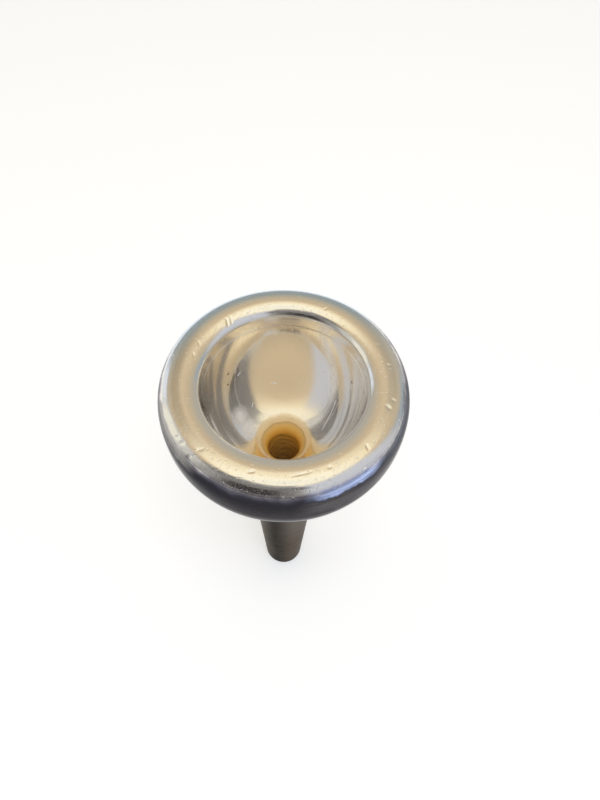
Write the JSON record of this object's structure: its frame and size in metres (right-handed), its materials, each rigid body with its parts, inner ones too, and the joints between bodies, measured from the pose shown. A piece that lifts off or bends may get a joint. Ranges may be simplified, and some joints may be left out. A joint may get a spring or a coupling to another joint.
{
  "type": "brass mouthpiece",
  "caption": "Screw-together trombone-size brass mouthpiece in silver plate: round cushioned rim, bowl cup with throat, and tapered shank, sealed by rubber rings.",
  "frame": {"origin": "centre of the shank's end face", "axes": "+Z along the mouthpiece's axis, from the shank's end up to the rim's crest; X and Y are any two directions across it"},
  "size_m": [0.039, 0.039, 0.086],
  "materials": {
    "silver_plate": "polished silver plate over brass, lightly worn",
    "seal_rubber": "matte"
  },
  "bodies": {
    "shank": {"shank": "silver_plate"},
    "shank_seal": {"shank_o_ring": "seal_rubber"},
    "cup": {"cup": "silver_plate"},
    "rim_seal": {"rim_o_ring": "seal_rubber"},
    "rim": {"rim": "silver_plate"}
  },
  "joints": [
    {"name": "cup_lift", "type": "slide", "parent": "shank", "child": "shank_seal", "axis": [0, 0, 1], "range_m": [0, 0.005]},
    {"name": "cup_turn", "type": "hinge", "parent": "shank_seal", "child": "cup", "pos_m": [0, 0, 0.048], "axis": [0, 0, 1], "range_deg": [0, 1800]},
    {"name": "rim_lift", "type": "slide", "parent": "cup", "child": "rim_seal", "axis": [0, 0, 1], "range_m": [0, 0.004]},
    {"name": "rim_turn", "type": "hinge", "parent": "rim_seal", "child": "rim", "pos_m": [0, 0, 0.0744], "axis": [0, 0, 1], "range_deg": [0, 1440]}
  ],
  "couplings": [
    {"joint": "cup_lift", "follows": "cup_turn", "m_per_rad": 0.00015915},
    {"joint": "rim_lift", "follows": "rim_turn", "m_per_rad": 0.00015915}
  ]
}
